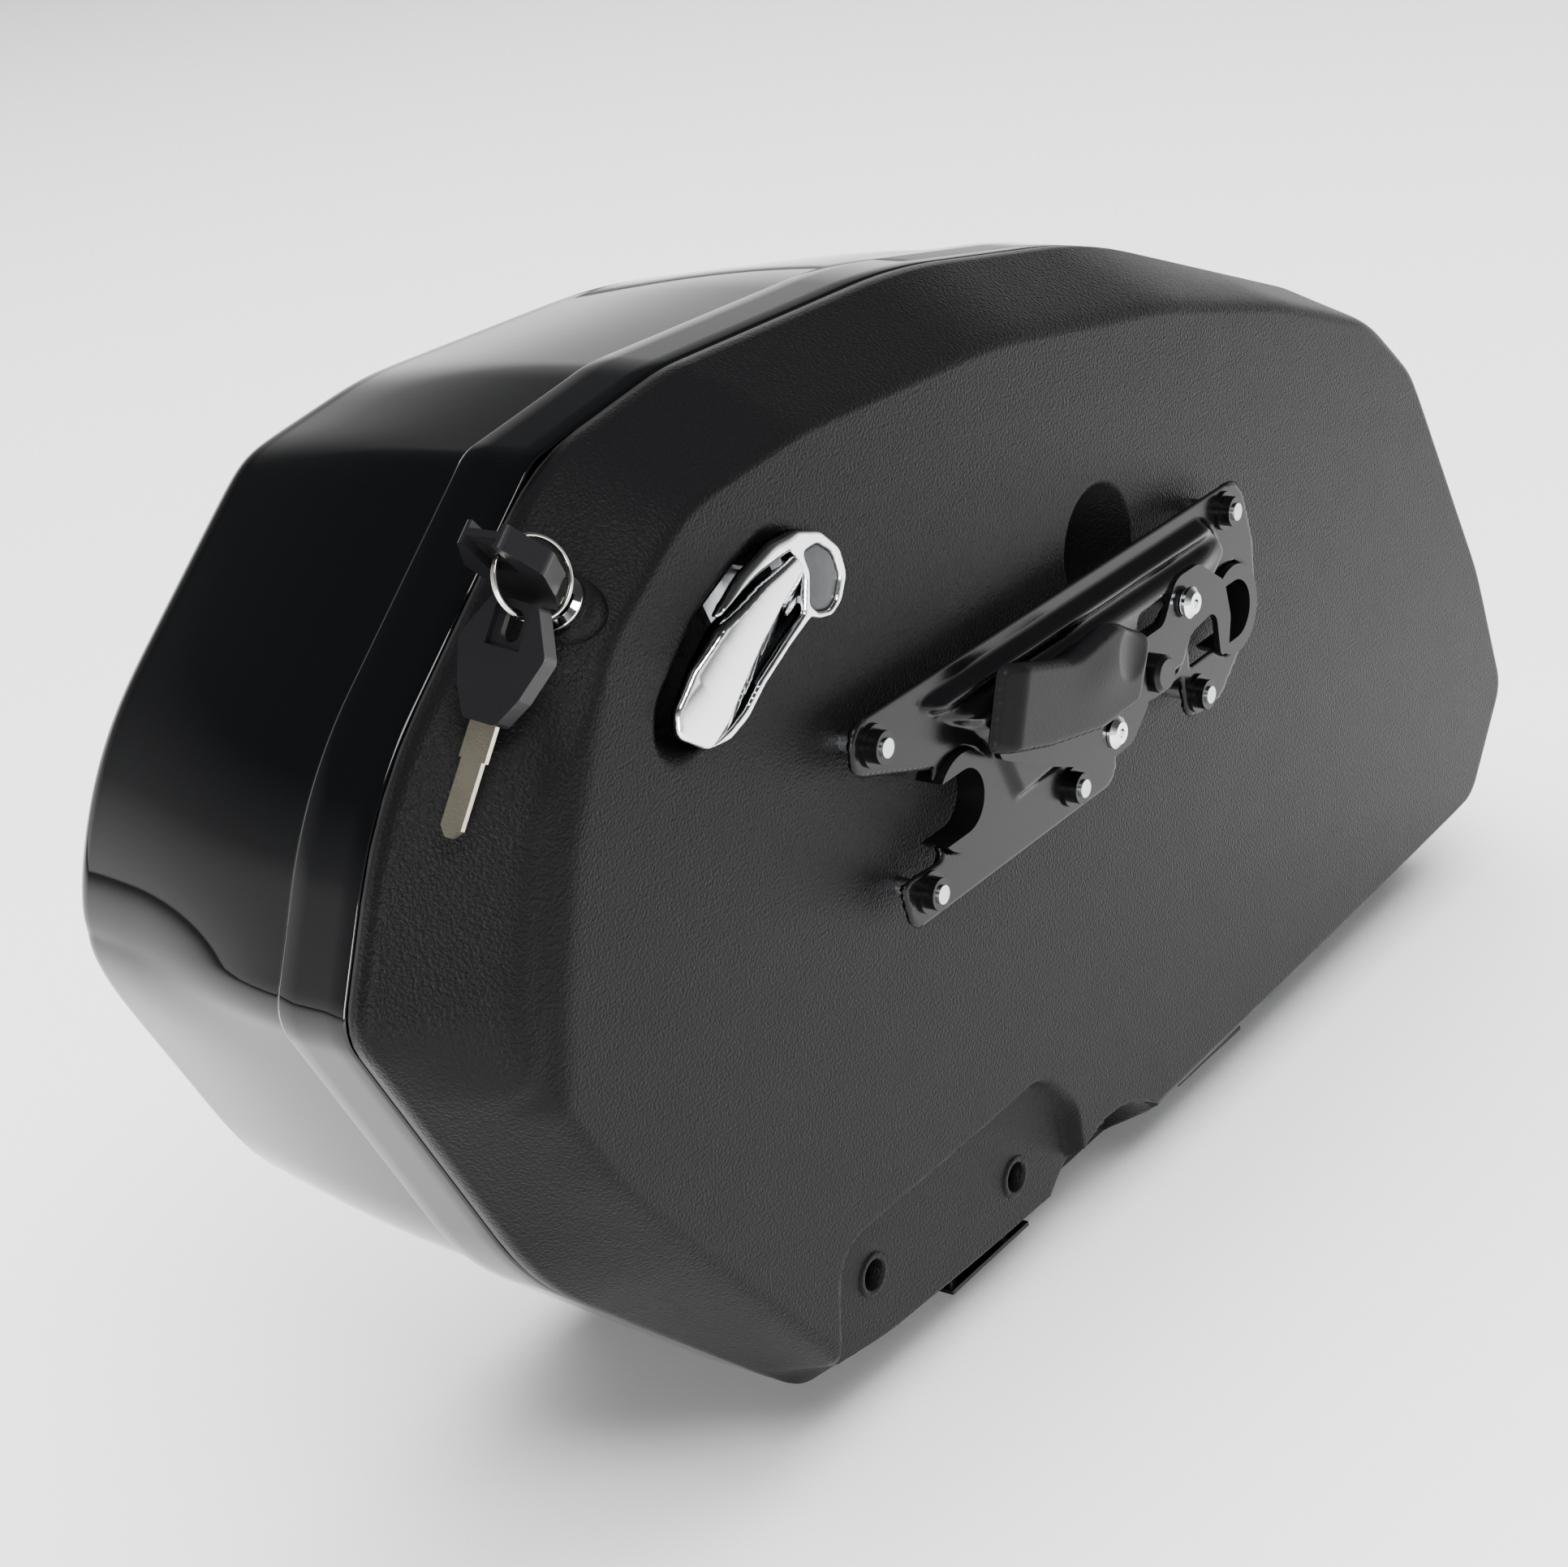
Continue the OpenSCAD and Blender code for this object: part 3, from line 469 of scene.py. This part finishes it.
def relief(name, shape, height, place, cell, slot, body, bottom=None, sheet=None):
    """Plate over a shape; height(points, depth) gives its front level, place puts it in space."""
    low = shape.outline.min(0) - cell
    high = shape.outline.max(0) + cell
    us = np.arange(low[0], high[0] + cell, cell)
    vs = np.arange(low[1], high[1] + cell, cell)
    grid = np.stack(np.meshgrid(us, vs, indexing="ij"), -1).reshape(-1, 2)
    gap = shape.gap(grid)
    keep = (gap < 0.5 * cell).reshape(len(us), len(vs))
    quad = keep[:-1, :-1] & keep[1:, :-1] & keep[1:, 1:] & keep[:-1, 1:]
    index = np.arange(len(grid)).reshape(len(us), len(vs))
    i, j = np.nonzero(quad)
    faces = np.stack([index[i, j], index[i + 1, j], index[i + 1, j + 1], index[i, j + 1]], 1)
    used = np.unique(faces)
    renumber = np.full(len(grid), -1)
    renumber[used] = np.arange(len(used))
    faces = renumber[faces]
    points = grid[used]
    edges = np.sort(np.concatenate([faces[:, [k, (k + 1) % 4]] for k in range(4)]), 1)
    pairs, inverse, counts = np.unique(edges, axis=0, return_inverse=True, return_counts=True)
    rim = np.unique(pairs[counts == 1])
    for _ in range(3):
        p = points[rim]
        d = shape.gap(p)
        gx = shape.gap(p + [0.02, 0]) - d
        gz = shape.gap(p + [0, 0.02]) - d
        grad = np.stack([gx, gz], 1) / 0.02
        size = np.maximum((grad ** 2).sum(1), 0.25)
        points[rim] = p - grad * (d / size)[:, None]
    depth = np.maximum(-shape.gap(points), 0)
    depth[rim] = 0
    front = place(points, height(points, depth))
    verts = front
    out = [tuple(f) for f in faces]
    if bottom is not None:
        count = len(points)
        verts = np.concatenate([front, place(points, np.full(count, bottom))])
        out += [tuple(f[::-1] + count) for f in faces]
        for a, b in pairs[counts == 1]:
            out.append((a, b, b + count, a + count))
    obj = new_object(name, verts * MM, out, body, slot)
    outward(obj)
    if sheet is not None:
        thicken(obj, "sheet", sheet)
    return obj


def flat_place(points, level):
    """Points of the XZ plane at their levels Y."""
    return np.stack([points[:, 0], level, points[:, 1]], 1)


def latch_place(points, level):
    """Points of the latch frame at their levels Y."""
    c, s = math.cos(LATCH_TURN), math.sin(LATCH_TURN)
    x = LATCH_AT[0] + points[:, 0] * c - points[:, 1] * s
    z = LATCH_AT[1] + points[:, 0] * s + points[:, 1] * c
    return np.stack([x, level, z], 1)


def soft_edge(depth, radius):
    """How far a rounded edge of that radius lies behind the face."""
    t = np.clip(depth, 0, radius)
    return radius - np.sqrt(np.maximum(radius ** 2 - (radius - t) ** 2, 0))


def grown(corners, by):
    """Outline of corners moved outwards by a distance, as points."""
    pts = resampled(rounded(corners, 12), 240)
    ahead = np.roll(pts, -1, 0) - np.roll(pts, 1, 0)
    ahead /= np.linalg.norm(ahead, axis=1)[:, None]
    out = np.stack([-ahead[:, 1], ahead[:, 0]], 1)
    if ((pts - pts.mean(0)) * out).sum() < 0:
        out = -out
    return pts + out * by


# Chrome lever: a broad face, a ridge and a slanted lower side
LEVER_LOOK = [
    (4.6, 1.5, 1.5), (3.2, 7.2, 1.5), (-14, 12.6, 30), (-35, 15.3, 20), (-49, 12.6, 16), (-61, 7.6, 6),
    (-65.2, 1.7, 4), (-59, -8.8, 5), (-45, -11.4, 12), (-25, -9.2, 30), (-9, -5.4, 16), (4.4, -1.2, 1),
]
RIDGE = [(-62, -9.0), (-50, -6.4), (-42.5, -3.1), (-37, -0.8), (-25.9, 2.3), (-11.3, 3.7), (2, 2.8)]


def lever_height(points, depth):
    ridge = np.interp(points[:, 0], [p[0] for p in RIDGE], [p[1] for p in RIDGE])
    above = np.maximum(points[:, 1] - ridge, 0)
    below = np.maximum(ridge - points[:, 1], 0)
    bow = 3.4 * ((points[:, 0] + 30) / 34) ** 2
    level = 4.4 + bow + 0.010 * above ** 2 + 0.55 * below
    return np.minimum(level + soft_edge(depth, 0.8), 12.2)


lever = relief(
    "lever_chrome", Shape(resampled(rounded(LEVER_LOOK, 12), 400)), lever_height, latch_place, 0.5,
    "chrome", "latch_handle", bottom=12.4,
)
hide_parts("latch_lever")

# Bezel: broad above the lever, a thin loop round the grey pad, a thin rim below the lever
BEZEL_LOOK = [
    (-36, 15.9, 1), (-18, 18.2, 30), (-1.4, 16.2, 16), (9, 11.4, 14), (18, 3.4, 10), (22.6, -7, 9),
    (21, -16, 6), (14.5, -21, 6), (8.5, -21.3, 4), (3.6, -18, 4), (0.4, -14.4, 3), (-11, -14.1, 20),
    (-27, -14.9, 20), (-38, -17.2, 14), (-48, -16.2, 10), (-58, -10.6, 1), (-46, -13.6, 10),
    (-38, -14.2, 14), (-28, -12.4, 20), (-11, -11.6, 20), (-1, -11.2, 2), (5.4, -2.6, 4), (5.2, 4, 2),
    (3.6, 8.2, 1.5), (-13, 13.2, 30),
]
PAD = [
    (8, 4.2, 1.5), (15, 1.6, 7), (19.4, -6, 8), (18.4, -14.5, 5), (13, -18.8, 5), (8.6, -19, 4),
    (4, -15.6, 3), (2.2, -11, 2), (7.4, -3, 4),
]


def bezel_height(points, depth):
    wide = ease((points[:, 1] - 6) / 6) * (1 - ease((points[:, 0] - 4) / 8))
    return 9.8 - 0.4 * wide + soft_edge(depth, 0.9) * (1 - wide) + soft_edge(depth, 2.4) * wide


bezel = relief(
    "bezel_rim",
    Shape(resampled(rounded(BEZEL_LOOK, 12), 700), (resampled(rounded(PAD, 12), 240),)),
    bezel_height, latch_place, 0.36, "chrome", "tray", bottom=12.98,
)
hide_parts("latch_bezel")


def pad_height(points, depth):
    return 11.0 - 0.5 * ease(depth / 6) + soft_edge(depth, 0.4)


pad = relief(
    "pad_face", Shape(grown(PAD, -0.05)), pad_height, latch_place, 0.5,
    "pad_plastic", "tray", bottom=12.9,
)
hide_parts("latch_pad")

# Docking plate: pressed sheet with a raised field, two ribs and a groove between them
PLATE = [
    (-52, 45, 10), (190, 45, 14), (197, 20, 12), (197, -8, 14), (168, -30, 8), (143, -30, 8),
    (141, -13, 3), (96, -13, 3), (94, -32, 9), (-31, -32, 8), (-35, -14, 4), (-12, -15, 3),
    (-12, 15, 2), (-54, 29, 8),
]
FIELD = [
    (-26, 40, 6), (160, 40, 10), (176, 24, 12), (158, 12.5, 5), (140, -10, 6), (30, -14, 6),
    (20, 8, 5), (10, 19, 6),
]
SLOT = [(108, 22, 3.4), (127, 22, 3.4), (127, 15, 3.4), (108, 15, 3.4)]


def plate_height(points, depth):
    x, z = points[:, 0], points[:, 1]
    field = -signed_distance(points, field_outline)
    y = 2.5 - 4.0 * ease(field / 4.5)
    along = ease((x + 22) / 16) * (1 - ease((x - 150) / 18))
    ridge = np.exp(-((z - 36.5) / 2.6) ** 2) * 1.3 + np.exp(-((z - 25.5) / 3.0) ** 2) * 1.2
    groove = np.exp(-((z - 31.0) / 2.3) ** 2) * 2.2
    low = ease((19 - z) / 5) * ease(field / 3) * 1.3
    y = y - (ridge - groove) * along * ease(field / 3) + low
    return y + soft_edge(depth, 0.7)


def hook_gap(x):
    """Clearance of a hook: its round seat and the slot to the front."""
    a = np.linspace(-math.pi + 0.715, math.pi - 0.715, 80)
    arc = np.stack([x + 16.0 * np.cos(a), 16.0 * np.sin(a)], 1)
    return np.vstack([arc, [(x - 30, 10.5), (x - 30, -10.5)]])


field_outline = resampled(rounded(FIELD, 12), 500)
plate_shape = Shape(
    resampled(rounded(PLATE, 12), 900),
    (hook_gap(0), hook_gap(177), resampled(rounded(SLOT, 12), 120)),
)
plate = relief(
    "plate_pressing", plate_shape, plate_height, flat_place, 0.9, "black_steel", "tray", sheet=2.2,
)
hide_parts("mount_plate")

# Moulded release grip: soft edges, a turned-down front end and a thumb dimple
GRIP_FRONT = -13.2


def grip_height(points, depth):
    front = np.array([4.0, 15.0])
    back = np.array([14.0, 41.0])
    e = (back - front) / np.linalg.norm(back - front)
    off = (points[:, 0] - front[0]) * e[1] - (points[:, 1] - front[1]) * e[0]
    end = 4.2 * (1 - ease(off / 9.5))
    swell = -0.9 * np.exp(-((points[:, 0] - 70) / 16) ** 2 - ((points[:, 1] - 20) / 9) ** 2)
    dimple = 1.5 * np.maximum(0, 1 - (np.hypot(points[:, 0] - 83, points[:, 1] - 20) / 9.5) ** 2)
    return GRIP_FRONT + end + swell + dimple + soft_edge(depth, 2.6)


grip = relief(
    "grip_moulding", Shape(resampled(rounded(GRIP, 12), 400)), grip_height, flat_place, 0.9,
    "lever_plastic", "release_handle", bottom=-7.05,
)
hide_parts("release_grip")

# ---- Lid ----


# The lid creases harder at its upper and lower front corners; above its band the lower one is soft
FRONT_LOW = (-225, 17)
FRONT_HIGH = (-118, 143)
CREASE_R = {FRONT_LOW: 18, FRONT_HIGH: 16}
SOFT_R = {FRONT_LOW: 74}
LID_LEAN = 11.0
CROWN_RISE = 15


def recornered(corners, radii):
    """The same outline with other radii at the corners named."""
    return [(x, z, radii.get((x, z), r)) for x, z, r in corners]


def build_lid():
    """Rings up the band, the leaning side and the crown."""
    columns = 900
    corners = recornered(SEAM, CREASE_R)
    base = resampled(rounded(corners, 24), columns)
    ahead = np.roll(base, -1, 0) - np.roll(base, 1, 0)
    ahead /= np.linalg.norm(ahead, axis=1)[:, None]
    inward = np.stack([ahead[:, 1], -ahead[:, 0]], 1)
    if ((CENTRE - base) * inward).sum() < 0:
        inward = -inward
    for _ in range(12):
        inward = (np.roll(inward, 1, 0) + inward + np.roll(inward, -1, 0)) / 3
    inward /= np.linalg.norm(inward, axis=1)[:, None]
    full = resampled(rounded(recornered(corners, SOFT_R), 24), 4000)
    nearest = np.array([np.argmin(((full - b) ** 2).sum(1)) for b in base])
    eased = full[nearest]
    for _ in range(30):
        eased = (np.roll(eased, 1, 0) + eased + np.roll(eased, -1, 0)) / 3
    rows = []
    plan = [(1.2, LID_Y), (0.35, LID_Y + 0.3), (0.0, LID_Y + 1.2)]
    plan += [(0.0, LID_Y + 1.2 + (BAND_Y - LID_Y - 2.4) * t) for t in (0.25, 0.5, 0.75, 1)]
    plan += [(0.3, BAND_Y - 0.3), (1.0, BAND_Y), (2.2, BAND_Y + 0.1), (2.6, BAND_Y + 0.6)]
    for t in np.linspace(0.02, 1, 34):
        bulge = 1.8 * math.sin(math.pi * t)
        plan.append((2.6 + (LID_LEAN - 2.6) * t - bulge, BAND_Y + 0.8 + (SHOULDER_Y - BAND_Y - 0.8) * t))
    for dist, y in plan:
        mix = ease((y - BAND_Y - 0.8) / 70.0)
        rows.append((base * (1 - mix) + eased * mix + inward * dist, y))
    rim = eased + inward * LID_LEAN
    for a in np.linspace(8, 90, 12):
        s = 1 - 0.1 * (1 - math.cos(math.radians(a)))
        rows.append((CENTRE + (rim - CENTRE) * s, SHOULDER_Y + 14 * math.sin(math.radians(a))))
    for t in np.linspace(0.96, 0.02, 26):
        s = 0.9 * t
        rows.append((CENTRE + (rim - CENTRE) * s, SHOULDER_Y + 14 + CROWN_RISE * (1 - t ** 2.1)))
    verts = np.concatenate([flat_place(p, np.full(len(p), y)) for p, y in rows]) * MM
    faces = grid_faces(len(rows), columns)
    top = (len(rows) - 1) * columns
    faces.append(tuple(range(top, top + columns)))
    obj = new_object("lid_cover", verts, faces, "lid", "gloss_lid")
    outward(obj)
    thicken(obj, "wall", SHELL_WALL)
    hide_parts("lid_shell")


build_lid()

# ---- Stage, light and camera ----

FLOOR_Z = cad_low.z - 0.002
FLOOR_HALF = 12.0


def build_floor():
    """Pale floor just below the bag."""
    mesh = bpy.data.meshes.new("floor")
    corners = [(-1, -1), (1, -1), (1, 1), (-1, 1)]
    mesh.from_pydata([(x * FLOOR_HALF, y * FLOOR_HALF, FLOOR_Z) for x, y in corners], [], [(0, 1, 2, 3)])
    obj = bpy.data.objects.new("floor", mesh)
    bpy.context.scene.collection.objects.link(obj)
    mesh.materials.append(material("floor_white", (0.86, 0.86, 0.86), 0.7))


build_floor()


def area_light(name, at, target, size, power):
    """Rectangular light aimed at a target."""
    data = bpy.data.lights.new(name, "AREA")
    data.shape = "RECTANGLE"
    data.size, data.size_y = size
    data.energy = power
    obj = bpy.data.objects.new(name, data)
    bpy.context.scene.collection.objects.link(obj)
    obj.location = at
    aim = Vector(target) - Vector(at)
    obj.rotation_mode = "QUATERNION"
    obj.rotation_quaternion = aim.to_track_quat("-Z", "Y")
    return obj


overhead = area_light("overhead", (0.3, 0.2, 3.0), (0.3, 0.2, 0), (5.0, 5.0), 620)
overhead.visible_glossy = False
area_light("key", (-0.75, -0.9, 1.35), (0.0, 0.05, 0.0), (0.9, 0.5), 24)
area_light("side", (-1.6, -0.75, 0.18), (-0.18, 0.03, -0.03), (0.4, 0.5), 26)

world = bpy.data.worlds.new("studio")
bpy.context.scene.world = world
world.use_nodes = True
sky = world.node_tree
# Bright at the horizon and dark overhead, for the reflections in the gloss lid
sky_coords = sky.nodes.new("ShaderNodeTexCoord")
sky_split = sky.nodes.new("ShaderNodeSeparateXYZ")
sky_ramp = sky.nodes.new("ShaderNodeValToRGB")
sky.links.new(sky_coords.outputs["Generated"], sky_split.inputs["Vector"])
sky.links.new(sky_split.outputs["Z"], sky_ramp.inputs["Fac"])
SKY = [(0.0, 1.0), (0.1, 0.72), (0.26, 0.26), (0.5, 0.05), (1.0, 0.02)]
while len(sky_ramp.color_ramp.elements) < len(SKY):
    sky_ramp.color_ramp.elements.new(0.5)
for stop, (at, level) in zip(sky_ramp.color_ramp.elements, SKY):
    stop.position = at
    stop.color = (level, level, level, 1)
sky.links.new(sky_ramp.outputs["Color"], sky.nodes["Background"].inputs["Color"])
sky.nodes["Background"].inputs["Strength"].default_value = 2.0

CAMERA_AT = Vector((-0.7302, -0.4986, 0.3825))
AZIMUTH = math.radians(-52.10)
ELEVATION = math.radians(22.71)
ROLL = math.radians(-6.82)
back = Vector((
    math.sin(AZIMUTH) * math.cos(ELEVATION),
    -math.cos(AZIMUTH) * math.cos(ELEVATION),
    math.sin(ELEVATION),
))
flat_right = Vector((0, 0, 1)).cross(back).normalized()
flat_up = back.cross(flat_right)
right = flat_right * math.cos(ROLL) + flat_up * math.sin(ROLL)
up = back.cross(right)
camera = bpy.data.objects.new("camera", bpy.data.cameras.new("camera"))
bpy.context.scene.collection.objects.link(camera)
camera.data.lens = 71.72
camera.data.sensor_width = 36
camera.matrix_world = Matrix((
    (right.x, up.x, back.x, CAMERA_AT.x),
    (right.y, up.y, back.y, CAMERA_AT.y),
    (right.z, up.z, back.z, CAMERA_AT.z),
    (0, 0, 0, 1),
))
bpy.context.scene.camera = camera
